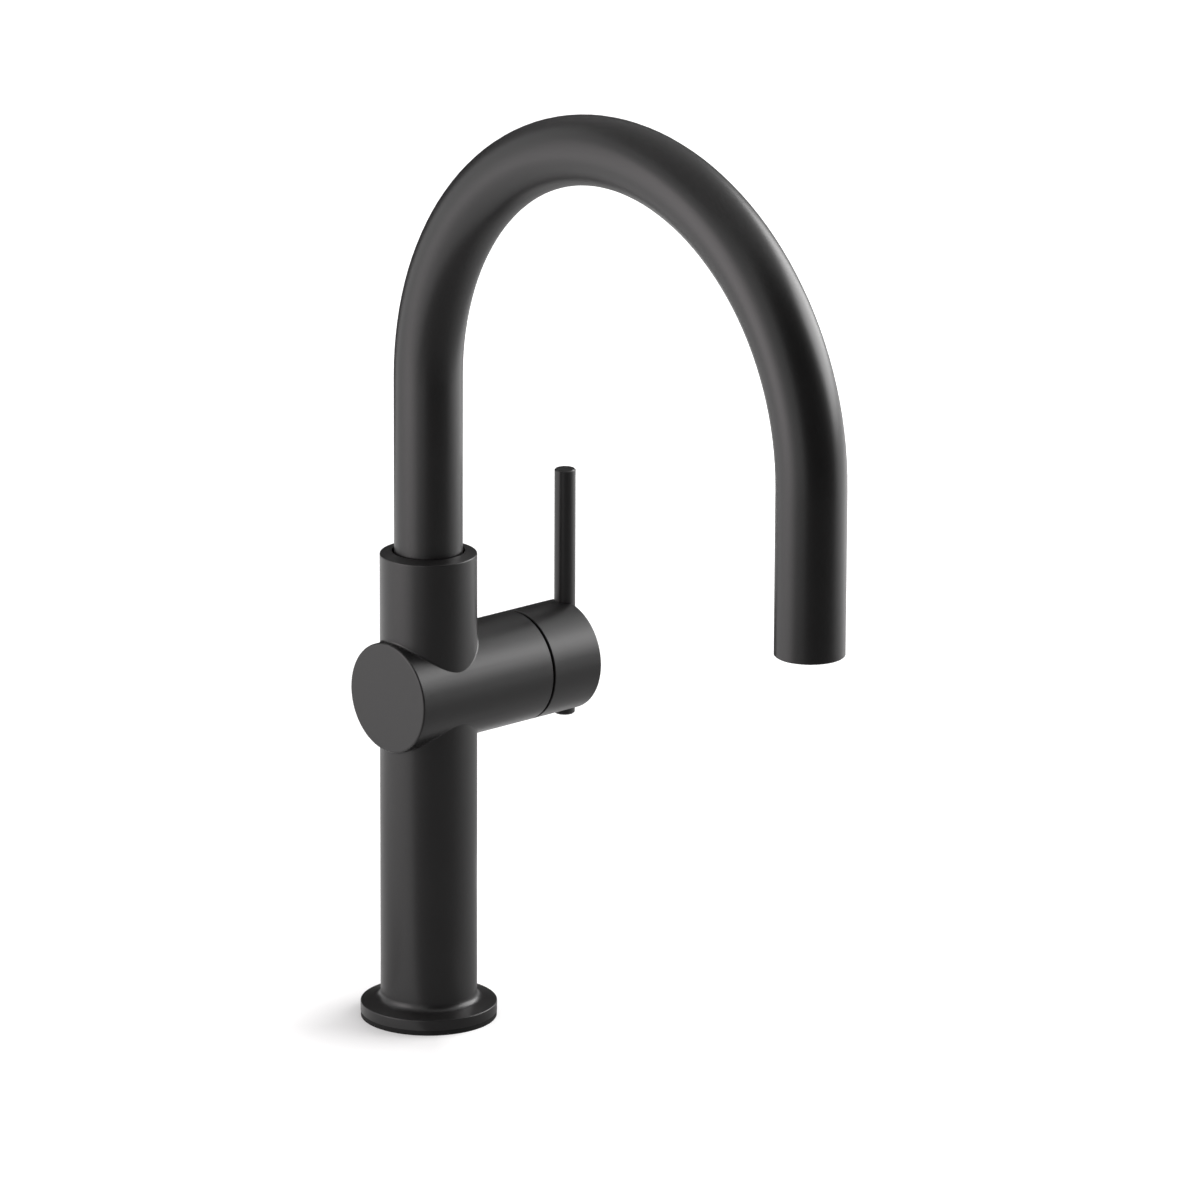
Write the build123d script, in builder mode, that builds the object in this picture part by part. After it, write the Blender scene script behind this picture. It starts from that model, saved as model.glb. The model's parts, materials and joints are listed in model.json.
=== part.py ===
"""Deck-mounted kitchen faucet with a swing spout and a side lever, in millimetres.

The origin is on the deck at the column's axis. +Z is up, the spout reaches towards -Y
and the lever barrel points to +X.
"""

import os
from math import cos, hypot, radians, sin, tan

from build123d import *

# Foot and column
shank_thread_bore = 31.5
shank_thread_length = 14.0
thread_step = 0.75
column_wall = 3.25
flange_width = 7.9
flange_edge = 4.1
flange_fillet = 2.8
flange_edge_break = 0.4
foot_hub_wall = 2.4
shed_angle = 12.0
gasket_thickness = 2.0
gasket_inset = 0.1

# Hose inlets and water ways inside the body
inlet_bore = 9.0
inlet_length = 10.0
inlet_depth = 12.0
port_bore = 5.6
port_circle = 16.0
port_count = 3
lower_port_angle = 30.0
riser_bore = 9.0

# Cross barrel
barrel_height = 134.2
barrel_wall = 2.95
blank_overhang = 2.4
barrel_fillet = 0.8
barrel_edge_break = 0.8
handle_gap = 1.1
gap_edge_break = 0.2

# Cartridge in the cross barrel
seat_reach = 10.0
cartridge_base_thickness = 5.0
base_spigot_height = 1.5
seal_width = 1.1
seal_thickness = 1.0
seal_land = 0.7
peg_diameter = 3.0
peg_length = 3.0
peg_edge = 2.5
key_diameter = 2.4
housing_wall = 3.5
disc_thickness = 4.0
mixing_recess_depth = 1.6
mixing_recess_width = 7.0
mixing_recess_sweep = 190.0
drive_slot_width = 5.0
drive_slot_depth = 1.4
drive_plate_inset = 1.2
drive_plate_thickness = 3.6
stem_diameter = 12.0
stem_seal_land = 3.5
stem_seal_section = 1.6
shoulder_thickness = 8.5
nose_wall = 5.5
nose_length = 7.7
stop_pin_diameter = 2.4
stop_pin_length = 2.4
stop_slot_depth = 3.0
stop_start_angle = 220.0
limit_ring_inset = 0.7
limit_ring_thickness = 2.4
handle_turn = 100.0

# Retaining nut, handle barrel and lever
nut_thread_depth = 1.05
nut_thread_length = 9.05
nut_notch_width = 5.0
nut_notch_depth = 2.5
nut_notch_count = 4
handle_wall = 3.6
handle_recess_depth = 7.0
handle_edge_break = 0.5
bearing_ring_wall = 1.6
bearing_ring_width = 5.0
spindle_square = 8.0
spindle_socket_depth = 8.0
groove_wall = 5.0
set_screw_diameter = 4.2
set_screw_length = 10.0
lever_diameter = 8.4
lever_rise = 75.7
lever_stub = 2.6
lever_edge_break = 0.5
lever_screw_diameter = 3.9
lever_screw_head_room = 0.6
lever_screw_head_height = 2.1
lever_screw_bite = 5.0
hex_socket_ratio = 0.55
hex_socket_depth = 2.0

# Collar and spout
tube_diameter = 26.8
tube_wall = 1.5
spout_leg = 70.9
bend_radius = 107.6
outlet_leg = 63.7
mouth_edge_break = 0.4
collar_gap = 0.9
collar_edge_break = 0.5
socket_wall = 9.3
foot_recess = 6.0
foot_land = 1.6
foot_spigot_wall = 3.3
foot_spigot_length = 10.0
washer_thickness = 1.2
washer_width = 3.4
glide_ring_width = 3.0
glide_ring_depth = 1.6
o_ring_section = 2.0
o_ring_side_room = 0.3
retaining_screw_diameter = 3.8
retaining_screw_bite = 1.0
retaining_screw_inset = 0.8
retaining_groove_depth = 1.8

# Aerator in the mouth
bush_recess = 1.0
bush_wall = 1.7
bush_shoulder_width = 1.6
bush_shoulder_length = 2.5
aerator_wall = 1.2
aerator_lip_width = 0.8
aerator_lip_thickness = 0.8
grid_thickness = 2.2
grid_rim_wall = 0.8
grid_rim_height = 2.4
grid_pitch = 2.4
grid_web = 0.45
jet_plate_thickness = 1.5
jet_bore = 1.1
jet_count = 12
jet_edge = 1.8
aerator_seal_thickness = 1.4
key_notch_width = 2.4
key_notch_depth = 0.6
key_notch_count = 4

# Clearances
running_gap = 0.05
fit_gap = 0.1
thread_gap = 0.05
clear_gap = 0.3
end_gap = 0.5

# Foot and column: the shank thread sets the column and the column sets the flange
shank_thread_radius = shank_thread_bore / 2
hose_bore_radius = shank_thread_radius - thread_step
column_radius = shank_thread_radius + column_wall
flange_radius = column_radius + flange_width
flange_top = gasket_thickness + flange_edge
flange_rise = flange_width * tan(radians(shed_angle))
collar_rise = column_radius * tan(radians(shed_angle))
foot_hub_radius = shank_thread_radius + foot_hub_wall

# Radii round the cross barrel's axis, outwards from the ports
port_radius = port_bore / 2
port_circle_radius = port_circle / 2
seal_outer_radius = port_radius + seal_width
spigot_radius = port_circle_radius + seal_outer_radius + fit_gap + seal_land
key_radius = key_diameter / 2
cavity_radius = spigot_radius + key_radius + fit_gap
fixed_disc_radius = cavity_radius - fit_gap
moving_disc_radius = cavity_radius - key_radius - 2 * clear_gap
drive_plate_radius = moving_disc_radius - drive_plate_inset
cartridge_radius = cavity_radius + housing_wall
peg_circle_radius = cartridge_radius - peg_edge - peg_diameter / 2
chamber_radius = cartridge_radius + clear_gap
nut_thread_radius = chamber_radius + nut_thread_depth
barrel_radius = nut_thread_radius + thread_gap + barrel_wall
stem_radius = stem_diameter / 2
nose_radius = stem_radius + nose_wall
stop_pin_radius = stop_pin_diameter / 2
stop_circle_radius = (stem_radius + nose_radius) / 2
limit_ring_radius = nose_radius - limit_ring_inset
nut_bore_radius = nose_radius + clear_gap
bearing_outer_radius = barrel_radius - handle_wall - fit_gap
bearing_inner_radius = bearing_outer_radius - bearing_ring_wall
nut_nose_radius = bearing_inner_radius - running_gap
lever_radius = lever_diameter / 2
lever_screw_head_radius = spindle_square / 2 - lever_screw_head_room

# Reaches along X from the column's axis, outwards from the cartridge's seat
blank_end = column_radius + blank_overhang
base_top = seat_reach + cartridge_base_thickness
spigot_top = base_top + base_spigot_height
fixed_disc_top = spigot_top + disc_thickness
moving_disc_top = fixed_disc_top + disc_thickness
drive_plate_top = moving_disc_top + drive_plate_thickness
cavity_top = drive_plate_top + clear_gap
housing_shoulder = cavity_top + shoulder_thickness
nose_top = housing_shoulder + nose_length
limit_ring_bottom = nose_top + clear_gap
body_reach = housing_shoulder + nut_thread_length
handle_start = body_reach + handle_gap
recess_floor = handle_start + handle_recess_depth
nut_nose_end = recess_floor - end_gap
socket_floor = recess_floor + spindle_socket_depth
screw_head_top = socket_floor - lever_screw_head_height
spindle_end = screw_head_top - end_gap
groove_floor = socket_floor + groove_wall
handle_reach = groove_floor + lever_radius

# Heights of the hose inlets below the ports
inlet_offset = port_circle_radius * cos(radians(lower_port_angle))
lower_port_height = barrel_height - port_circle_radius * sin(radians(lower_port_angle))
upper_port_height = barrel_height + port_circle_radius
hose_bore_top = barrel_height - barrel_radius - inlet_depth

# Spout foot in its collar, upwards from the cartridge's chamber
tube_radius = tube_diameter / 2
tube_bore_radius = tube_radius - tube_wall
foot_bore_radius = tube_bore_radius - fit_gap - foot_spigot_wall
collar_bore_radius = tube_radius + collar_gap
foot_radius = collar_bore_radius - running_gap
o_ring_groove_width = o_ring_section + 2 * o_ring_side_room
o_ring_groove_radius = foot_radius - o_ring_section - fit_gap
o_ring_centre_radius = foot_radius - o_ring_section / 2
retaining_groove_width = retaining_screw_diameter + 2 * clear_gap
socket_bottom = barrel_height + chamber_radius + socket_wall
foot_bottom = socket_bottom + washer_thickness
lower_o_ring_top = foot_bottom + foot_land + o_ring_groove_width
upper_o_ring_top = lower_o_ring_top + foot_land + o_ring_groove_width
retaining_groove_top = upper_o_ring_top + foot_land + retaining_groove_width
retaining_screw_height = retaining_groove_top - retaining_groove_width / 2
glide_groove_top = retaining_groove_top + foot_land + glide_ring_width
foot_top = glide_groove_top + foot_land
collar_height = foot_top + foot_recess
bend_height = collar_height + spout_leg
mouth_height = bend_height - outlet_leg

# Aerator stack, upwards from the mouth
outlet_y = -2 * bend_radius
bush_bottom = mouth_height + bush_recess
bush_radius = tube_bore_radius - fit_gap
bush_bore_radius = bush_radius - bush_wall
aerator_radius = bush_bore_radius - thread_gap
aerator_bore_radius = aerator_radius - aerator_wall
insert_radius = aerator_bore_radius - fit_gap
lip_top = bush_bottom + aerator_lip_thickness
grid_top = lip_top + grid_thickness
grid_rim_top = grid_top + grid_rim_height
jet_plate_top = grid_rim_top + jet_plate_thickness
aerator_seal_top = jet_plate_top + aerator_seal_thickness

barrel_axis = Axis((0, 0, barrel_height), (1, 0, 0))


def across_barrel(reach):
    """Plane square to the cross barrel's axis, its origin on that axis, facing +X."""
    return Plane(origin=(reach, 0, barrel_height), x_dir=(0, 1, 0), z_dir=(1, 0, 0))


def across_outlet(height):
    """Plane square to the outlet leg's axis, facing +Z."""
    return Plane(origin=(0, outlet_y, height), x_dir=(1, 0, 0), z_dir=(0, 0, 1))


def tube_between(plane, outer, inner, length):
    """Plain ring extruded from a plane into the part being built."""
    with BuildSketch(plane) as ring:
        Circle(outer)
        Circle(inner, mode=Mode.SUBTRACT)
    extrude(ring.sketch, amount=length)


def drill(plane, radius, length):
    """Round hole from a plane along its normal, cut from the part being built."""
    with BuildSketch(plane) as hole:
        Circle(radius)
    extrude(hole.sketch, amount=length, mode=Mode.SUBTRACT)


def grub_screw(plane, diameter, length):
    """Headless screw from its point to its hex socket, along the plane's normal."""
    with BuildSketch(plane) as shank:
        Circle(diameter / 2)
    extrude(shank.sketch, amount=length)
    with BuildSketch(plane.offset(length)) as socket:
        RegularPolygon(diameter / 2 * hex_socket_ratio, 6)
    extrude(socket.sketch, amount=-hex_socket_depth, mode=Mode.SUBTRACT)


# Column, flange, cross barrel and collar in one casting; flange and collar slope to shed water
with BuildPart() as main_body:
    with BuildSketch(Plane.XZ):
        with BuildLine():
            Polyline(
                (0, gasket_thickness),
                (flange_radius, gasket_thickness),
                (flange_radius, flange_top),
                (column_radius, flange_top + flange_rise),
                (column_radius, collar_height),
                (0, collar_height + collar_rise),
                close=True,
            )
        make_face()
    revolve(axis=Axis.Z)
    rims = main_body.edges().filter_by(GeomType.CIRCLE).sort_by(Axis.Z)
    fillet(rims[1], flange_edge_break)
    fillet(rims[2], flange_fillet)
    fillet(rims[3], collar_edge_break)

    with BuildSketch(across_barrel(-blank_end)):
        Circle(barrel_radius)
    extrude(amount=blank_end + body_reach)
    crossings = main_body.edges(Select.LAST).filter_by(GeomType.CIRCLE, reverse=True)
    crossings = crossings.filter_by(GeomType.LINE, reverse=True)
    fillet(crossings, barrel_fillet)
    barrel_ends = main_body.edges().filter_by(GeomType.CIRCLE).filter_by(Plane.YZ)
    fillet(barrel_ends.sort_by(Axis.X)[0], barrel_edge_break)
    chamfer(barrel_ends.sort_by(Axis.X)[-1], gap_edge_break)

    with BuildSketch(Plane.XY):
        Circle(foot_hub_radius)
    extrude(amount=gasket_thickness)

    # Hose space with the shank thread at its mouth, then the two inlets
    drill(Plane.XY, shank_thread_radius, shank_thread_length)
    drill(Plane.XY, hose_bore_radius, hose_bore_top)
    for side in (-1, 1):
        inlet = Plane(origin=(0, side * inlet_offset, hose_bore_top))
        drill(inlet, inlet_bore / 2, inlet_length)
        drill(inlet, port_radius, lower_port_height - hose_bore_top)

    # Cartridge chamber, its ports and the riser to the spout
    drill(across_barrel(seat_reach), chamber_radius, body_reach - seat_reach)
    drill(across_barrel(housing_shoulder), nut_thread_radius + thread_gap, nut_thread_length)
    with BuildSketch(across_barrel(0)):
        with PolarLocations(port_circle_radius, port_count, start_angle=90):
            Circle(port_radius)
    extrude(amount=seat_reach, mode=Mode.SUBTRACT)
    with BuildSketch(across_barrel(seat_reach)):
        with PolarLocations(peg_circle_radius, 2):
            Circle(peg_diameter / 2 + fit_gap)
    extrude(amount=-peg_length - fit_gap, mode=Mode.SUBTRACT)
    drill(Plane.XY.offset(upper_port_height), riser_bore / 2, socket_bottom - upper_port_height)

    # Spout socket, with the retaining screw's hole at the back
    socket_depth = collar_height + collar_rise - socket_bottom
    drill(Plane.XY.offset(socket_bottom), collar_bore_radius, socket_depth)
    back = Plane(origin=(0, 0, retaining_screw_height), x_dir=(1, 0, 0), z_dir=(0, 1, 0))
    drill(back, retaining_screw_diameter / 2 + thread_gap, column_radius)

main_body.part.label = "main_body"

# Rubber ring under the flange, round the foot's hub
with BuildPart() as deck_gasket:
    tube_between(Plane.XY, flange_radius - gasket_inset, foot_hub_radius + fit_gap, gasket_thickness)

deck_gasket.part.label = "deck_gasket"

# Lower plate of the cartridge, with seal seats round its ports and two pegs
with BuildPart() as cartridge_base:
    with BuildSketch(across_barrel(seat_reach)):
        Circle(cartridge_radius)
    extrude(amount=cartridge_base_thickness)
    with BuildSketch(across_barrel(base_top)):
        Circle(spigot_radius)
    extrude(amount=base_spigot_height)
    with BuildSketch(across_barrel(seat_reach)):
        with PolarLocations(peg_circle_radius, 2):
            Circle(peg_diameter / 2)
    extrude(amount=-peg_length)
    with BuildSketch(across_barrel(seat_reach)):
        with PolarLocations(port_circle_radius, port_count, start_angle=90):
            Circle(port_radius)
    extrude(amount=cartridge_base_thickness + base_spigot_height, mode=Mode.SUBTRACT)
    for seat, depth in ((seat_reach, seal_thickness), (spigot_top, -seal_thickness)):
        with BuildSketch(across_barrel(seat)):
            with PolarLocations(port_circle_radius, port_count, start_angle=90):
                Circle(seal_outer_radius + fit_gap)
        extrude(amount=depth, mode=Mode.SUBTRACT)

cartridge_base.part.label = "cartridge_base"

# Three rubber rings between the cartridge and its seat in the body
with BuildPart() as port_seals:
    with BuildSketch(across_barrel(seat_reach)):
        with PolarLocations(port_circle_radius, port_count, start_angle=90):
            Circle(seal_outer_radius)
            Circle(port_radius, mode=Mode.SUBTRACT)
    extrude(amount=seal_thickness)

port_seals.part.label = "port_seals"

# Three rubber rings under the fixed disc
with BuildPart() as disc_seals:
    with BuildSketch(across_barrel(spigot_top - seal_thickness)):
        with PolarLocations(port_circle_radius, port_count, start_angle=90):
            Circle(seal_outer_radius)
            Circle(port_radius, mode=Mode.SUBTRACT)
    extrude(amount=seal_thickness)

disc_seals.part.label = "disc_seals"

# Lower ceramic disc, keyed to the housing by two round notches
with BuildPart() as fixed_disc:
    with BuildSketch(across_barrel(spigot_top)):
        Circle(fixed_disc_radius)
        with PolarLocations(port_circle_radius, port_count, start_angle=90):
            Circle(port_radius, mode=Mode.SUBTRACT)
        with PolarLocations(cavity_radius, 2):
            Circle(key_radius + fit_gap, mode=Mode.SUBTRACT)
    extrude(amount=disc_thickness)

fixed_disc.part.label = "fixed_disc"

# Cartridge shell: a keyed cavity, a neck for the stem and a curved slot for the stop pin
stop_arc = CenterArc((0, 0), stop_circle_radius, stop_start_angle, handle_turn)
with BuildPart() as cartridge_housing:
    with BuildSketch(across_barrel(base_top)):
        Circle(cartridge_radius)
    extrude(amount=housing_shoulder - base_top)
    with BuildSketch(across_barrel(housing_shoulder)):
        Circle(nose_radius)
    extrude(amount=nose_length)
    with BuildSketch(across_barrel(base_top)):
        Circle(cavity_radius)
        with PolarLocations(cavity_radius, 2):
            Circle(key_radius, mode=Mode.SUBTRACT)
    extrude(amount=cavity_top - base_top, mode=Mode.SUBTRACT)
    drill(across_barrel(cavity_top), stem_radius + running_gap, nose_top - cavity_top)
    with BuildSketch(across_barrel(nose_top)):
        SlotArc(stop_arc, stop_pin_diameter + 2 * fit_gap)
    extrude(amount=-stop_slot_depth, mode=Mode.SUBTRACT)

cartridge_housing.part.label = "cartridge_housing"

# Upper ceramic disc: a curved mixing recess below and a drive slot above
recess_start_angle = 90 - mixing_recess_sweep / 2
recess_arc = CenterArc((0, 0), port_circle_radius, recess_start_angle, mixing_recess_sweep)
with BuildPart() as moving_disc:
    with BuildSketch(across_barrel(fixed_disc_top)):
        Circle(moving_disc_radius)
    extrude(amount=disc_thickness)
    with BuildSketch(across_barrel(fixed_disc_top)):
        SlotArc(recess_arc, mixing_recess_width)
    extrude(amount=mixing_recess_depth, mode=Mode.SUBTRACT)
    with BuildSketch(across_barrel(moving_disc_top)):
        Rectangle(drive_slot_width, 2 * moving_disc_radius)
    extrude(amount=-drive_slot_depth, mode=Mode.SUBTRACT)

moving_disc.part.label = "moving_disc"

# Stem with its drive plate and tongue, a seal groove and a square end
with BuildPart() as spindle:
    with BuildSketch(across_barrel(moving_disc_top)):
        Circle(drive_plate_radius)
    extrude(amount=drive_plate_thickness)
    with BuildSketch(across_barrel(moving_disc_top)):
        Rectangle(drive_slot_width - 2 * fit_gap, 2 * drive_plate_radius)
        Circle(drive_plate_radius, mode=Mode.INTERSECT)
    extrude(amount=-drive_slot_depth + fit_gap)
    with BuildSketch(across_barrel(drive_plate_top)):
        Circle(stem_radius)
    extrude(amount=nose_top - drive_plate_top)
    with BuildSketch(across_barrel(nose_top)):
        Rectangle(spindle_square, spindle_square)
    extrude(amount=spindle_end - nose_top)
    seal_start = drive_plate_top + stem_seal_land
    with BuildSketch(across_barrel(seal_start)):
        Circle(stem_radius)
        Circle(stem_radius - stem_seal_section - fit_gap, mode=Mode.SUBTRACT)
    extrude(amount=stem_seal_section + 2 * o_ring_side_room, mode=Mode.SUBTRACT)

spindle.part.label = "spindle"

# Round rubber ring in the stem's groove
with BuildPart() as spindle_o_ring:
    ring_centre = seal_start + o_ring_side_room + stem_seal_section / 2
    with BuildSketch(Plane.XZ):
        with Locations((ring_centre, barrel_height + stem_radius - stem_seal_section / 2)):
            Circle(stem_seal_section / 2)
    revolve(axis=barrel_axis)

spindle_o_ring.part.label = "spindle_o_ring"

# Ring on the spindle's square, with the pin that runs in the housing's stop slot
with BuildPart() as limit_ring:
    with BuildSketch(across_barrel(limit_ring_bottom)):
        Circle(limit_ring_radius)
        Rectangle(spindle_square + 2 * fit_gap, spindle_square + 2 * fit_gap, mode=Mode.SUBTRACT)
    extrude(amount=limit_ring_thickness)
    with BuildSketch(across_barrel(limit_ring_bottom)):
        with PolarLocations(stop_circle_radius, 1, start_angle=stop_start_angle):
            Circle(stop_pin_radius)
    extrude(amount=-stop_pin_length)

limit_ring.part.label = "limit_ring"

# Hollow nut: its thread clamps the housing and its nose carries the handle
with BuildPart() as retaining_nut:
    tube_between(across_barrel(housing_shoulder), nut_thread_radius, nut_bore_radius, nut_thread_length)
    tube_between(across_barrel(body_reach), nut_nose_radius, nut_bore_radius, nut_nose_end - body_reach)
    with BuildSketch(across_barrel(nut_nose_end)):
        with PolarLocations(nut_nose_radius, nut_notch_count):
            Rectangle(2 * nut_nose_radius, nut_notch_width)
    extrude(amount=-nut_notch_depth, mode=Mode.SUBTRACT)

retaining_nut.part.label = "retaining_nut"

# Turned handle: a recess for the nut, a square socket and a half-round groove for the rod
with BuildPart() as handle_barrel:
    with BuildSketch(across_barrel(handle_start)):
        Circle(barrel_radius)
    extrude(amount=handle_reach - handle_start)
    handle_rims = handle_barrel.edges().filter_by(GeomType.CIRCLE).sort_by(Axis.X)
    chamfer(handle_rims[0], gap_edge_break)
    fillet(handle_rims[-1], handle_edge_break)
    drill(across_barrel(handle_start), bearing_outer_radius + fit_gap, handle_recess_depth)
    with BuildSketch(across_barrel(recess_floor)):
        Rectangle(spindle_square + 2 * fit_gap, spindle_square + 2 * fit_gap)
    extrude(amount=spindle_socket_depth, mode=Mode.SUBTRACT)
    drill(across_barrel(socket_floor), lever_screw_diameter / 2 + fit_gap, handle_reach - socket_floor)
    rod_line = Plane(origin=(handle_reach, 0, barrel_height - 2 * barrel_radius))
    drill(rod_line, lever_radius + fit_gap, 4 * barrel_radius)
    set_screw_reach = (recess_floor + spindle_end) / 2
    under = Plane(origin=(set_screw_reach, 0, barrel_height), x_dir=(1, 0, 0), z_dir=(0, 0, -1))
    drill(under, set_screw_diameter / 2 + thread_gap, barrel_radius)

handle_barrel.part.label = "handle_barrel"

# Plastic ring in the handle's recess, running on the nut's nose
with BuildPart() as handle_bearing_ring:
    ring_start = across_barrel(recess_floor - bearing_ring_width)
    tube_between(ring_start, bearing_outer_radius, bearing_inner_radius, bearing_ring_width)

handle_bearing_ring.part.label = "handle_bearing_ring"

# Grub screw under the handle, its point on the spindle's square
with BuildPart() as handle_set_screw:
    grub_screw(under.offset(spindle_square / 2), set_screw_diameter, set_screw_length)

handle_set_screw.part.label = "handle_set_screw"

# Round lever rod across the handle's outer end, with a blind hole for its screw
with BuildPart() as lever_rod:
    with BuildSketch(Plane(origin=(handle_reach, 0, barrel_height - barrel_radius - lever_stub))):
        Circle(lever_radius)
    extrude(amount=lever_rise + barrel_radius + lever_stub)
    chamfer(lever_rod.edges().filter_by(GeomType.CIRCLE), lever_edge_break)
    drill(across_barrel(groove_floor), lever_screw_diameter / 2 + thread_gap, lever_screw_bite + fit_gap)

lever_rod.part.label = "lever_rod"

# Screw from the handle's socket into the rod
with BuildPart() as lever_screw:
    with BuildSketch(across_barrel(screw_head_top)):
        Circle(lever_screw_head_radius)
    extrude(amount=lever_screw_head_height)
    with BuildSketch(across_barrel(socket_floor)):
        Circle(lever_screw_diameter / 2)
    extrude(amount=groove_floor + lever_screw_bite - socket_floor)
    with BuildSketch(across_barrel(screw_head_top)):
        RegularPolygon(lever_screw_head_radius * hex_socket_ratio, 6)
    extrude(amount=lever_screw_head_height / 2, mode=Mode.SUBTRACT)

lever_screw.part.label = "lever_screw"

# Bent spout tube: two straight legs and a half-circle bend
with BuildPart() as spout_tube:
    tube_between(Plane.XY.offset(foot_top), tube_radius, tube_bore_radius, bend_height - foot_top)
    with BuildSketch(Plane.XY.offset(bend_height)):
        Circle(tube_radius)
        Circle(tube_bore_radius, mode=Mode.SUBTRACT)
    revolve(axis=Axis((0, -bend_radius, bend_height), (1, 0, 0)), revolution_arc=180)
    tube_between(across_outlet(mouth_height), tube_radius, tube_bore_radius, bend_height - mouth_height)
    mouth_rims = spout_tube.edges().filter_by(GeomType.CIRCLE)
    chamfer(mouth_rims.filter_by_position(Axis.Z, mouth_height, mouth_height), mouth_edge_break)

spout_tube.part.label = "spout_tube"

# Turned foot of the spout: a spigot in the tube and four grooves in the collar
with BuildPart() as spout_foot:
    tube_between(Plane.XY.offset(foot_bottom), foot_radius, foot_bore_radius, foot_top - foot_bottom)
    tube_between(Plane.XY.offset(foot_top), tube_bore_radius - fit_gap, foot_bore_radius, foot_spigot_length)
    for top, width, floor in (
        (glide_groove_top, glide_ring_width, foot_radius - glide_ring_depth),
        (retaining_groove_top, retaining_groove_width, foot_radius - retaining_groove_depth),
        (upper_o_ring_top, o_ring_groove_width, o_ring_groove_radius),
        (lower_o_ring_top, o_ring_groove_width, o_ring_groove_radius),
    ):
        with BuildSketch(Plane.XY.offset(top)):
            Circle(collar_bore_radius)
            Circle(floor, mode=Mode.SUBTRACT)
        extrude(amount=-width, mode=Mode.SUBTRACT)

spout_foot.part.label = "spout_foot"

# Two round rubber rings on the foot
with BuildPart() as spout_o_rings:
    with BuildSketch(Plane.XZ):
        for top in (upper_o_ring_top, lower_o_ring_top):
            with Locations((o_ring_centre_radius, top - o_ring_groove_width / 2)):
                Circle(o_ring_section / 2)
    revolve(axis=Axis.Z)

spout_o_rings.part.label = "spout_o_rings"

# Plastic ring near the top of the foot
with BuildPart() as spout_glide_ring:
    tube_between(
        Plane.XY.offset(glide_groove_top - glide_ring_width + fit_gap),
        foot_radius,
        foot_radius - glide_ring_depth + fit_gap,
        glide_ring_width - 2 * fit_gap,
    )

spout_glide_ring.part.label = "spout_glide_ring"

# Plastic washer under the foot
with BuildPart() as spout_thrust_washer:
    washer_radius = collar_bore_radius - fit_gap
    socket_seat = Plane.XY.offset(socket_bottom)
    tube_between(socket_seat, washer_radius, washer_radius - washer_width, washer_thickness)

spout_thrust_washer.part.label = "spout_thrust_washer"

# Grub screw at the back of the collar, its point in the foot's groove
with BuildPart() as spout_retaining_screw:
    screw_point = collar_bore_radius - retaining_screw_bite
    screw_length = column_radius - retaining_screw_inset - screw_point
    grub_screw(back.offset(screw_point), retaining_screw_diameter, screw_length)

spout_retaining_screw.part.label = "spout_retaining_screw"

# Bush in the mouth of the tube, with a shoulder over the aerator
with BuildPart() as outlet_bush:
    tube_between(across_outlet(bush_bottom), bush_radius, bush_bore_radius, aerator_seal_top - bush_bottom)
    shoulder_bore_radius = bush_bore_radius - bush_shoulder_width
    tube_between(across_outlet(aerator_seal_top), bush_radius, shoulder_bore_radius, bush_shoulder_length)

outlet_bush.part.label = "outlet_bush"

# Sleeve of the recessed aerator, with key notches in its lower lip
with BuildPart() as aerator_housing:
    mouth = across_outlet(bush_bottom)
    lip_bore_radius = aerator_bore_radius - aerator_lip_width
    tube_between(mouth, aerator_radius, aerator_bore_radius, jet_plate_top - bush_bottom)
    tube_between(mouth, aerator_bore_radius, lip_bore_radius, aerator_lip_thickness)
    with BuildSketch(mouth):
        with PolarLocations(aerator_radius, key_notch_count):
            Rectangle(2 * aerator_wall, key_notch_width)
    extrude(amount=key_notch_depth, mode=Mode.SUBTRACT)

aerator_housing.part.label = "aerator_housing"

# Honeycomb grid with an upstanding rim
with BuildPart() as aerator_grid:
    grid_opening = insert_radius - grid_rim_wall
    rows = int(2 * grid_opening / grid_pitch) + 1
    cell_radius = (grid_pitch - grid_web) / 2
    with BuildSketch(across_outlet(lip_top)):
        Circle(insert_radius)
        with HexLocations(grid_pitch / 2, rows, rows) as cells:
            spots = [
                place.position
                for place in cells.local_locations
                if hypot(place.position.X, place.position.Y) < grid_opening - grid_pitch / 2
            ]
        with Locations(*spots):
            RegularPolygon(cell_radius, 6, major_radius=False, rotation=30, mode=Mode.SUBTRACT)
    extrude(amount=grid_thickness)
    tube_between(across_outlet(grid_top), insert_radius, grid_opening, grid_rim_height)

aerator_grid.part.label = "aerator_grid"

# Perforated plate that breaks the stream into jets
with BuildPart() as aerator_jet_plate:
    with BuildSketch(across_outlet(grid_rim_top)):
        Circle(insert_radius)
        with PolarLocations(insert_radius - jet_edge, jet_count):
            Circle(jet_bore / 2, mode=Mode.SUBTRACT)
    extrude(amount=jet_plate_thickness)

aerator_jet_plate.part.label = "aerator_jet_plate"

# Rubber ring between the aerator and the bush's shoulder
with BuildPart() as aerator_seal:
    seal_seat = across_outlet(jet_plate_top)
    tube_between(seal_seat, bush_bore_radius - fit_gap, shoulder_bore_radius, aerator_seal_thickness)

aerator_seal.part.label = "aerator_seal"

os.makedirs("parts", exist_ok=True)
for piece in (
    main_body,
    deck_gasket,
    cartridge_base,
    port_seals,
    disc_seals,
    fixed_disc,
    cartridge_housing,
    moving_disc,
    spindle,
    spindle_o_ring,
    limit_ring,
    retaining_nut,
    handle_barrel,
    handle_bearing_ring,
    handle_set_screw,
    lever_rod,
    lever_screw,
    spout_tube,
    spout_foot,
    spout_o_rings,
    spout_glide_ring,
    spout_thrust_washer,
    spout_retaining_screw,
    outlet_bush,
    aerator_housing,
    aerator_grid,
    aerator_jet_plate,
    aerator_seal,
):
    export_step(piece.part, f"parts/{piece.part.label}.step")
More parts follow.
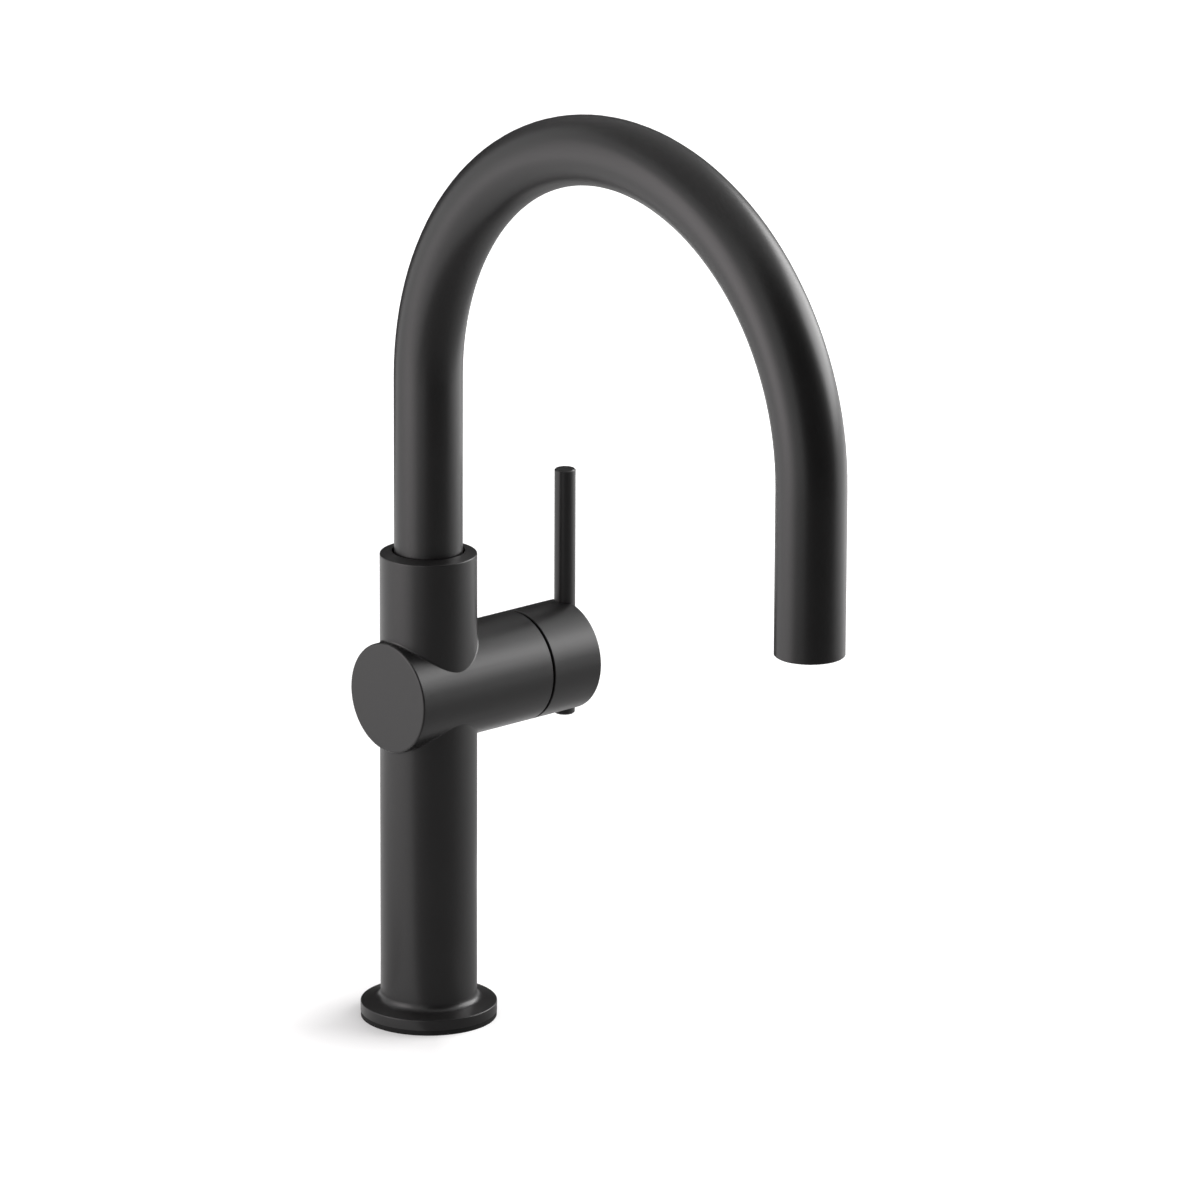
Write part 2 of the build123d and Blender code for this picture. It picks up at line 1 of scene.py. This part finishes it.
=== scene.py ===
"""Looks of a deck-mounted kitchen faucet with a swing spout and a side lever, in metres.

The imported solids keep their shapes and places. This script gives every finish its material
and sets the floor, the lights and the camera.
"""

import json
from math import cos, radians

import bpy
from mathutils import Matrix, Vector


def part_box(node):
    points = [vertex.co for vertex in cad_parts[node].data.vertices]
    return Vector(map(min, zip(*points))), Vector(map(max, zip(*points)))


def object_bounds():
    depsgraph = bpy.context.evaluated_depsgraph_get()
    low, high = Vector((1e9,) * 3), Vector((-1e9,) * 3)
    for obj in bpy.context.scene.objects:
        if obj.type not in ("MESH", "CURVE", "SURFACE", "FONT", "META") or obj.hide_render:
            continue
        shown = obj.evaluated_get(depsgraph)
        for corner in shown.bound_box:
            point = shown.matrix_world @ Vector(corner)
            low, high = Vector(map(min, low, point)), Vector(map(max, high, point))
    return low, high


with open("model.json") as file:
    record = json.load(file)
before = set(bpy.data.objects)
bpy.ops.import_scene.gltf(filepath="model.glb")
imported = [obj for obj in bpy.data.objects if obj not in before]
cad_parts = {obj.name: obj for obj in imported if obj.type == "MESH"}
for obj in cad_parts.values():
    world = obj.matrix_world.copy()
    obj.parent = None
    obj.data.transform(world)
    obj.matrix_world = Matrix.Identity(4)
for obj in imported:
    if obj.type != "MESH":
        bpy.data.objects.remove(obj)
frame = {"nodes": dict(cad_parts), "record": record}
cad_low, cad_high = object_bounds()
record = frame["record"]

# Camera of the photograph, aimed at a point beside the column
view_azimuth = -42.22
view_elevation = 16.43
view_roll = 0.26
view_distance = 3.549
view_limit = 100.0
aim_right = 0.0667
aim_height = 0.1702
camera_lens = 273.8
camera_sensor = 36.0

# Floor round the foot: lit, with a glow that makes it show white
floor_size = 40.0
floor_colour = (0.8, 0.8, 0.8, 1)
near_glow = 0.4
far_glow = 0.65
near_floor = 0.35
far_floor = 1.1

# Painted shadow: the floor's glow is dimmer in front of the foot and on its left, a soft shadow painted
# into the floor
foot_painted_shadow = 0.24
foot_near = 0.027
foot_far = 0.055
foot_stretch = 1.4
foot_right = (0.003, 0.02)

# Room light, and the white surround that shows behind the faucet and in it
white = (1, 1, 1, 1)
room_light = 0.6
surround = 1.0

# Lamps, at azimuths counted from the camera's: two faintly warm ones on its left, a strip on its right
left_colour = (1.0, 0.925, 0.945)
right_colour = (1.0, 0.99, 0.99)
softboxes = {
    "left_softbox": dict(
        azimuth=-73.0, elevation=10.0, distance=0.87, width=0.9, height=0.8, power=2.2, colour=left_colour
    ),
    "left_softbox_core": dict(
        azimuth=-70.0, elevation=10.0, distance=0.86, width=0.42, height=0.6, power=1.2, colour=left_colour
    ),
    "right_strip": dict(
        azimuth=116.0, elevation=22.5, distance=1.4, width=1.4, height=0.92, power=20.8, colour=right_colour
    ),
}

# Grey card on the floor in front, seen in reflections alone, as all the cards are
floor_card_azimuth = 52.0
floor_card_width = 1.45
floor_card_shift = -0.12
floor_card_start = 0.018
floor_card_reach = 0.9
floor_card_lift = 0.0004
floor_card_pale_azimuth = 120.0
floor_card_blend_angles = (60.0, 25.0)
floor_card_greys = (0.3, 0.48)

# Cards on the floor behind, from start to reach, each lifted off the one below
rear_cards = {
    "rear_card": dict(azimuth=122.0, width=0.16, start=0.03, reach=0.34, lift=0.0008, grey=0.57),
    "left_rear_card": dict(azimuth=-133.0, width=0.24, start=0.03, reach=0.34, lift=0.0012, grey=0.84),
    "far_card": dict(azimuth=160.0, width=0.5, start=0.2, reach=0.74, lift=0.0016, grey=0.5),
}

# Cards that stand behind and on the camera's right, paler towards their tops
back_card = dict(
    azimuth=190.0,
    shift=-0.09,
    width=1.22,
    height=1.3,
    reach=0.75,
    blend_heights=(0.42, 0.9),
    greys=(0.06, 0.52),
)
right_card = dict(
    azimuth=34.0,
    shift=0.0,
    width=1.5,
    height=1.5,
    reach=0.8,
    blend_heights=(0.6, 1.2),
    greys=(0.03, 0.1),
)

# Card overhead, from the back card forwards
roof_card_width = 1.6
roof_card_length = 1.4
roof_card_height = 1.3
roof_card_grey = 0.62

# Part of a noise's range that a finish spreads between its two ends
noise_low = 0.3
noise_high = 0.7

# Axes that the brass and steel pieces were turned about
along_barrel = (1.0, 0.0, 0.0)
along_collar_screw = (0.0, 1.0, 0.0)
along_column = (0.0, 0.0, 1.0)
turned_axes = {
    "retaining_nut": along_barrel,
    "spindle": along_barrel,
    "lever_screw": along_barrel,
    "spout_retaining_screw": along_collar_screw,
    "handle_set_screw": along_column,
    "spout_foot": along_column,
    "outlet_bush": along_column,
}


def add_node(tree, kind, **settings):
    """New shader node; plain settings go to its properties and a dict named inputs to its sockets."""
    node = tree.nodes.new(kind)
    for socket, value in settings.pop("inputs", {}).items():
        node.inputs[socket].default_value = value
    for name, value in settings.items():
        setattr(node, name, value)
    return node


def map_range(tree, value, start, end, first, last, **settings):
    """Output that runs from first to last while a value runs from start to end."""
    ends = {"From Min": start, "From Max": end, "To Min": first, "To Max": last}
    node = add_node(tree, "ShaderNodeMapRange", inputs=ends, **settings)
    tree.links.new(value, node.inputs["Value"])
    return node.outputs["Result"]


def new_group(name, inputs, outputs):
    """Empty shader group with float or vector inputs and float outputs, and its two end nodes."""
    group = bpy.data.node_groups.new(name, "ShaderNodeTree")
    for socket, default in inputs.items():
        kind = "NodeSocketVector" if isinstance(default, tuple) else "NodeSocketFloat"
        made = group.interface.new_socket(socket, in_out="INPUT", socket_type=kind)
        made.default_value = default
    for socket in outputs:
        group.interface.new_socket(socket, in_out="OUTPUT", socket_type="NodeSocketFloat")
    return group, group.nodes.new("NodeGroupInput"), group.nodes.new("NodeGroupOutput")


def make_fine_grain():
    """Fine grain of a coating or moulding, over slow cloudy variation."""
    defaults = {"Grain Scale": 3000.0, "Cloud Scale": 40.0}
    group, start, end = new_group("fine_grain", defaults, ["Grain", "Cloud"])
    place = add_node(group, "ShaderNodeTexCoord")
    grain = add_node(group, "ShaderNodeTexNoise", inputs={"Detail": 3.0, "Roughness": 0.55})
    cloud = add_node(group, "ShaderNodeTexNoise", inputs={"Detail": 2.0, "Roughness": 0.5})
    for noise, scale, out in ((grain, "Grain Scale", "Grain"), (cloud, "Cloud Scale", "Cloud")):
        group.links.new(place.outputs["Object"], noise.inputs["Vector"])
        group.links.new(start.outputs[scale], noise.inputs["Scale"])
        group.links.new(noise.outputs["Fac"], end.inputs[out])
    return group


def make_turning_marks():
    """Rings that a lathe leaves round an axis, along a wall and outwards on an end face."""
    defaults = {"Axis": (0.0, 0.0, 1.0), "Centre": (0.0, 0.0, 0.0), "Ring Scale": 2500.0}
    group, start, end = new_group("turning_marks", defaults, ["Ring"])
    place = add_node(group, "ShaderNodeTexCoord")
    offset = add_node(group, "ShaderNodeVectorMath", operation="SUBTRACT")
    along = add_node(group, "ShaderNodeVectorMath", operation="DOT_PRODUCT")
    across = add_node(group, "ShaderNodeVectorMath", operation="CROSS_PRODUCT")
    radius = add_node(group, "ShaderNodeVectorMath", operation="LENGTH")
    spot = add_node(group, "ShaderNodeCombineXYZ")
    ring = add_node(group, "ShaderNodeTexNoise", noise_dimensions="2D", inputs={"Detail": 2.0})
    group.links.new(place.outputs["Object"], offset.inputs[0])
    group.links.new(start.outputs["Centre"], offset.inputs[1])
    for product in (along, across):
        group.links.new(offset.outputs["Vector"], product.inputs[0])
        group.links.new(start.outputs["Axis"], product.inputs[1])
    group.links.new(across.outputs["Vector"], radius.inputs[0])
    group.links.new(along.outputs["Value"], spot.inputs["X"])
    group.links.new(radius.outputs["Value"], spot.inputs["Y"])
    group.links.new(spot.outputs["Vector"], ring.inputs["Vector"])
    group.links.new(start.outputs["Ring Scale"], ring.inputs["Scale"])
    group.links.new(ring.outputs["Fac"], end.inputs["Ring"])
    return group


fine_grain = make_fine_grain()
turning_marks = make_turning_marks()


class Finish:
    """Material with one Principled shader and the links that this object's finishes share."""

    def __init__(self, name, **constants):
        self.material = bpy.data.materials.new(name)
        self.material.use_nodes = True
        self.tree = self.material.node_tree
        self.tree.nodes.clear()
        self.shader = add_node(self.tree, "ShaderNodeBsdfPrincipled", inputs=constants)
        end = add_node(self.tree, "ShaderNodeOutputMaterial")
        self.tree.links.new(self.shader.outputs["BSDF"], end.inputs["Surface"])

    def group(self, group, **values):
        """Places a shared effect with its own values, their names written with underscores."""
        node = add_node(self.tree, "ShaderNodeGroup", node_tree=group)
        for name, value in values.items():
            node.inputs[name.replace("_", " ").title()].default_value = value
        return node

    def rings(self, piece, ring_scale):
        """Turning marks round a piece's own axis, which goes through the middle of its box."""
        low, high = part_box(piece)
        middle = (low + high) / 2
        node = self.group(turning_marks, axis=turned_axes[piece], centre=middle, ring_scale=ring_scale)
        return node.outputs["Ring"]

    def colour(self, mask, low, high):
        """Base Color between two colours by a mask."""
        ramp = add_node(self.tree, "ShaderNodeValToRGB")
        first, last = ramp.color_ramp.elements
        first.position = noise_low
        first.color = (*low, 1)
        last.position = noise_high
        last.color = (*high, 1)
        self.tree.links.new(mask, ramp.inputs["Fac"])
        self.tree.links.new(ramp.outputs["Color"], self.shader.inputs["Base Color"])

    def roughness(self, mask, low, high):
        """Roughness between two values by a mask."""
        spread = map_range(self.tree, mask, noise_low, noise_high, low, high)
        self.tree.links.new(spread, self.shader.inputs["Roughness"])

    def bump(self, height, depth):
        """Bump of a real depth in metres."""
        bump = add_node(self.tree, "ShaderNodeBump", inputs={"Strength": 1.0, "Distance": depth})
        self.tree.links.new(height, bump.inputs["Height"])
        self.tree.links.new(bump.outputs["Normal"], self.shader.inputs["Normal"])


def grained(finish, grain_scale, cloud_scale, colours, roughness, depth):
    """Coated or moulded finish: a cloudy colour under a fine grain."""
    grain = finish.group(fine_grain, grain_scale=grain_scale, cloud_scale=cloud_scale)
    finish.colour(grain.outputs["Cloud"], *colours)
    finish.roughness(grain.outputs["Grain"], *roughness)
    finish.bump(grain.outputs["Grain"], depth)
    return finish.material


def turned_metal(name, piece, cloud_scale, ring_scale, colours, roughness, depth):
    """Metal with a cloudy colour and the turning marks of one piece."""
    finish = Finish(name, Metallic=1.0)
    grain = finish.group(fine_grain, cloud_scale=cloud_scale)
    rings = finish.rings(piece, ring_scale)
    finish.colour(grain.outputs["Cloud"], *colours)
    finish.roughness(rings, *roughness)
    finish.bump(rings, depth)
    return finish.material


def powder_coat():
    """Matte black coat of the column, spout, handle and lever rod."""
    return grained(
        Finish("matte_black"),
        grain_scale=4000.0,
        cloud_scale=35.0,
        colours=((0.0077, 0.0073, 0.0074), (0.0097, 0.0092, 0.0093)),
        roughness=(0.31, 0.37),
        depth=0.000004,
    )


def moulded_rubber():
    """Black rubber of the gasket and the seals."""
    return grained(
        Finish("black_rubber", **{"Specular IOR Level": 0.25}),
        grain_scale=2500.0,
        cloud_scale=60.0,
        colours=((0.0065, 0.0065, 0.0065), (0.009, 0.009, 0.009)),
        roughness=(0.7, 0.85),
        depth=0.00001,
    )


def moulded_acetal():
    """White plastic of the cartridge's shell and the slide rings."""
    return grained(
        Finish("white_acetal"),
        grain_scale=1800.0,
        cloud_scale=50.0,
        colours=((0.78, 0.78, 0.74), (0.83, 0.83, 0.8)),
        roughness=(0.36, 0.48),
        depth=0.000004,
    )


def moulded_grey():
    """Grey plastic of the aerator."""
    return grained(
        Finish("grey_plastic"),
        grain_scale=2200.0,
        cloud_scale=80.0,
        colours=((0.105, 0.105, 0.11), (0.135, 0.135, 0.14)),
        roughness=(0.42, 0.55),
        depth=0.000006,
    )


def lapped_ceramic():
    """Smooth ceramic of the cartridge's discs, speckled and without relief."""
    finish = Finish("white_ceramic")
    grain = finish.group(fine_grain, grain_scale=3500.0, cloud_scale=90.0)
    finish.colour(grain.outputs["Grain"], (0.83, 0.81, 0.76), (0.88, 0.87, 0.83))
    finish.roughness(grain.outputs["Cloud"], 0.12, 0.2)
    return finish.material


def turned_brass(piece):
    """Bare brass from the lathe."""
    return turned_metal(
        f"{piece}_brass",
        piece,
        cloud_scale=70.0,
        ring_scale=2600.0,
        colours=((0.66, 0.47, 0.2), (0.76, 0.57, 0.28)),
        roughness=(0.24, 0.38),
        depth=0.000012,
    )


def brass_painted_gap_shade(piece):
    """Brass from the lathe, painted nearly black as the shade of the gap where it sits."""
    return turned_metal(
        f"{piece}_brass_painted_gap_shade",
        piece,
        cloud_scale=70.0,
        ring_scale=2600.0,
        colours=((0.018, 0.016, 0.014), (0.03, 0.026, 0.022)),
        roughness=(0.4, 0.55),
        depth=0.000012,
    )


def turned_steel(piece):
    """Bare steel of the screws."""
    return turned_metal(
        f"{piece}_steel",
        piece,
        cloud_scale=120.0,
        ring_scale=2400.0,
        colours=((0.52, 0.52, 0.53), (0.62, 0.62, 0.62)),
        roughness=(0.26, 0.4),
        depth=0.00001,
    )


shared_finishes = {
    "matte_black": powder_coat(),
    "black_rubber": moulded_rubber(),
    "white_acetal": moulded_acetal(),
    "white_ceramic": lapped_ceramic(),
    "grey_plastic": moulded_grey(),
}
turned_finishes = {"raw_brass": turned_brass, "bare_steel": turned_steel}

# The nut shows in the handle's gap, so its brass is painted nearly black: painted shade of the gap
gap_shade_finishes = {"retaining_nut": brass_painted_gap_shade}

for subpart in record["subparts"]:
    piece = subpart["node"]
    slot = subpart["material_slot"]
    turned_finish = gap_shade_finishes.get(piece, turned_finishes.get(slot))
    finish = turned_finish(piece) if turned_finish else shared_finishes[slot]
    for place in frame["nodes"][piece].material_slots:
        place.material = finish


upright = Matrix.Rotation(radians(90), 4, "X")


def turned(azimuth):
    """Turn about Z that brings -Y to an azimuth counted from the camera's."""
    return Matrix.Rotation(radians(view_azimuth + azimuth), 4, "Z")


def facing(azimuth, elevation):
    """Turn of a camera or lamp that looks at the faucet from a direction."""
    return turned(azimuth) @ Matrix.Rotation(radians(90 - elevation), 4, "X")


def see_white(tree):
    """1 where a camera, glossy or transmission ray arrives, else 0."""
    path = add_node(tree, "ShaderNodeLightPath")
    either = add_node(tree, "ShaderNodeMath", operation="MAXIMUM")
    any_ray = add_node(tree, "ShaderNodeMath", operation="MAXIMUM")
    tree.links.new(path.outputs["Is Camera Ray"], either.inputs[0])
    tree.links.new(path.outputs["Is Glossy Ray"], either.inputs[1])
    tree.links.new(either.outputs["Value"], any_ray.inputs[0])
    tree.links.new(path.outputs["Is Transmission Ray"], any_ray.inputs[1])
    return any_ray.outputs["Value"]


def stage_material(name):
    """Material with no nodes yet but its output."""
    material = bpy.data.materials.new(name)
    material.use_nodes = True
    material.node_tree.nodes.clear()
    end = add_node(material.node_tree, "ShaderNodeOutputMaterial")
    return material, material.node_tree, end.inputs["Surface"]


def add_stage_plane(name, width, length, place, material):
    """Flat stage piece, placed by a matrix."""
    bpy.ops.object.select_all(action="DESELECT")
    bpy.ops.mesh.primitive_plane_add(size=1.0)
    plane = bpy.context.object
    plane.name = name
    plane.data.transform(place @ Matrix.Diagonal((width, length, 1, 1)))
    plane.data.materials.append(material)
    return plane


def paint_foot_shadow(tree, place):
    """Painted shadow at the foot: how much the floor's glow drops, in front and on the left, not on the
    right.
    """
    seen = add_node(tree, "ShaderNodeMapping", vector_type="TEXTURE")
    seen.inputs["Rotation"].default_value = (0, 0, radians(view_azimuth))
    seen.inputs["Scale"].default_value = (1, foot_stretch, 1)
    away = add_node(tree, "ShaderNodeVectorMath", operation="LENGTH")
    parts = add_node(tree, "ShaderNodeSeparateXYZ")
    drop = add_node(tree, "ShaderNodeMath", operation="MULTIPLY")
    tree.links.new(place, seen.inputs["Vector"])
    tree.links.new(seen.outputs["Vector"], away.inputs[0])
    tree.links.new(seen.outputs["Vector"], parts.inputs["Vector"])
    near = map_range(tree, away.outputs["Value"], foot_near, foot_far, foot_painted_shadow, 0.0)
    left = map_range(tree, parts.outputs["X"], *foot_right, 1.0, 0.0)
    tree.links.new(near, drop.inputs[0])
    tree.links.new(left, drop.inputs[1])
    return drop.outputs["Value"]


def make_floor():
    """Pale floor that shows white and keeps the faucet's cast shadow, with a painted shadow added at the
    foot.
    """
    material, tree, surface = stage_material("pale_floor")
    place = add_node(tree, "ShaderNodeTexCoord")
    away = add_node(tree, "ShaderNodeVectorMath", operation="LENGTH")
    total = add_node(tree, "ShaderNodeMath", operation="SUBTRACT")
    level = add_node(tree, "ShaderNodeMath", operation="MULTIPLY")
    matt = add_node(tree, "ShaderNodeBsdfDiffuse", inputs={"Color": floor_colour})
    glow = add_node(tree, "ShaderNodeEmission")
    both = add_node(tree, "ShaderNodeAddShader")
    tree.links.new(place.outputs["Object"], away.inputs[0])
    smooth = {"interpolation_type": "SMOOTHSTEP"}
    base = map_range(tree, away.outputs["Value"], near_floor, far_floor, near_glow, far_glow, **smooth)
    tree.links.new(base, total.inputs[0])
    # Painted shadow: the glow drops in front of the foot and on its left
    tree.links.new(paint_foot_shadow(tree, place.outputs["Object"]), total.inputs[1])
    tree.links.new(total.outputs["Value"], level.inputs[0])
    tree.links.new(see_white(tree), level.inputs[1])
    tree.links.new(level.outputs["Value"], glow.inputs["Strength"])
    tree.links.new(matt.outputs["BSDF"], both.inputs[0])
    tree.links.new(glow.outputs["Emission"], both.inputs[1])
    tree.links.new(both.outputs["Shader"], surface)
    add_stage_plane("floor", floor_size, floor_size, Matrix(), material)


def add_card(name, width, length, place):
    """Flat card that only reflections see, with its node tree and matt shader."""
    material, tree, surface = stage_material(name)
    matt = add_node(tree, "ShaderNodeBsdfDiffuse")
    tree.links.new(matt.outputs["BSDF"], surface)
    card = add_stage_plane(name, width, length, place, material)
    card.visible_camera = False
    card.visible_shadow = False
    card.visible_diffuse = False
    card.visible_transmission = False
    return tree, matt


def add_plain_card(name, width, length, place, grey):
    """Card of one grey."""
    matt = add_card(name, width, length, place)[1]
    matt.inputs["Color"].default_value = (grey, grey, grey, 1)


def blend_greys(tree, matt, value, limits, greys):
    """Shades a card between two greys by a value."""
    tree.links.new(map_range(tree, value, *limits, *greys), matt.inputs["Color"])


def make_floor_card():
    """Card on the floor in front, paler towards the right."""
    middle = (floor_card_start + floor_card_reach) / 2
    length = floor_card_reach - floor_card_start
    place = turned(floor_card_azimuth) @ Matrix.Translation((floor_card_shift, -middle, floor_card_lift))
    tree, matt = add_card("floor_card", floor_card_width, length, place)
    spot = add_node(tree, "ShaderNodeTexCoord")
    way = add_node(tree, "ShaderNodeVectorMath", operation="NORMALIZE")
    near = add_node(tree, "ShaderNodeVectorMath", operation="DOT_PRODUCT")
    near.inputs[1].default_value = turned(floor_card_pale_azimuth).to_3x3() @ Vector((0, -1, 0))
    tree.links.new(spot.outputs["Object"], way.inputs[0])
    tree.links.new(way.outputs["Vector"], near.inputs[0])
    limits = [cos(radians(angle)) for angle in floor_card_blend_angles]
    blend_greys(tree, matt, near.outputs["Value"], limits, floor_card_greys)


def make_standing_card(name, azimuth, shift, width, height, reach, blend_heights, greys):
    """Upright card at an azimuth, from one grey to another between two heights."""
    place = turned(azimuth) @ Matrix.Translation((shift, -reach, height / 2)) @ upright
    tree, matt = add_card(name, width, height, place)
    spot = add_node(tree, "ShaderNodeTexCoord")
    parts = add_node(tree, "ShaderNodeSeparateXYZ")
    tree.links.new(spot.outputs["Object"], parts.inputs["Vector"])
    blend_greys(tree, matt, parts.outputs["Z"], blend_heights, greys)


def make_rear_card(name, azimuth, width, start, reach, lift, grey):
    """Card on the floor behind, at an azimuth."""
    place = turned(azimuth) @ Matrix.Translation((0, -(start + reach) / 2, lift))
    add_plain_card(name, width, reach - start, place, grey)


def make_roof_card():
    """Card over the faucet that starts above the back card."""
    middle = roof_card_length / 2 - back_card["reach"]
    place = turned(back_card["azimuth"]) @ Matrix.Translation((0, middle, roof_card_height))
    add_plain_card("roof_card", roof_card_width, roof_card_length, place, roof_card_grey)


def make_world():
    """Room light for the surfaces; the white surround for what is seen directly or as a reflection."""
    world = bpy.data.worlds.new("studio")
    bpy.context.scene.world = world
    world.use_nodes = True
    tree = world.node_tree
    tree.nodes.clear()
    room = add_node(tree, "ShaderNodeBackground", inputs={"Color": white, "Strength": room_light})
    shown = add_node(tree, "ShaderNodeBackground", inputs={"Color": white, "Strength": surround})
    mix = add_node(tree, "ShaderNodeMixShader")
    end = add_node(tree, "ShaderNodeOutputWorld")
    tree.links.new(see_white(tree), mix.inputs["Fac"])
    tree.links.new(room.outputs["Background"], mix.inputs[1])
    tree.links.new(shown.outputs["Background"], mix.inputs[2])
    tree.links.new(mix.outputs["Shader"], end.inputs["Surface"])


def make_softbox(name, azimuth, elevation, distance, width, height, power, colour):
    """Area light that looks at the middle of the faucet."""
    middle = (cad_low + cad_high) / 2
    lamp = bpy.data.lights.new(name, "AREA")
    lamp.shape = "RECTANGLE"
    lamp.size = width
    lamp.size_y = height
    lamp.energy = power
    lamp.color = colour
    light = bpy.data.objects.new(name, lamp)
    turn = facing(azimuth, elevation)
    light.matrix_world = Matrix.Translation(middle) @ turn @ Matrix.Translation((0, 0, distance))
    light.visible_camera = False
    bpy.context.scene.collection.objects.link(light)


def make_camera():
    """Camera that sees the faucet as the photograph does."""
    turn = facing(0, view_elevation)
    level_right = turn @ Vector((1, 0, 0))
    aim = level_right * aim_right + Vector((0, 0, aim_height))
    roll = Matrix.Rotation(radians(view_roll), 4, "Z")
    data = bpy.data.cameras.new("photo_camera")
    data.lens = camera_lens
    data.sensor_width = camera_sensor
    data.clip_end = view_limit
    camera = bpy.data.objects.new("photo_camera", data)
    camera.matrix_world = Matrix.Translation(aim) @ turn @ roll @ Matrix.Translation((0, 0, view_distance))
    bpy.context.scene.collection.objects.link(camera)
    bpy.context.scene.camera = camera


make_floor()
make_floor_card()
make_standing_card("back_card", **back_card)
make_standing_card("right_card", **right_card)
for name, card in rear_cards.items():
    make_rear_card(name, **card)
make_roof_card()
make_world()
for name, lamp in softboxes.items():
    make_softbox(name, **lamp)
make_camera()
bpy.context.scene.view_settings.view_transform = "Standard"
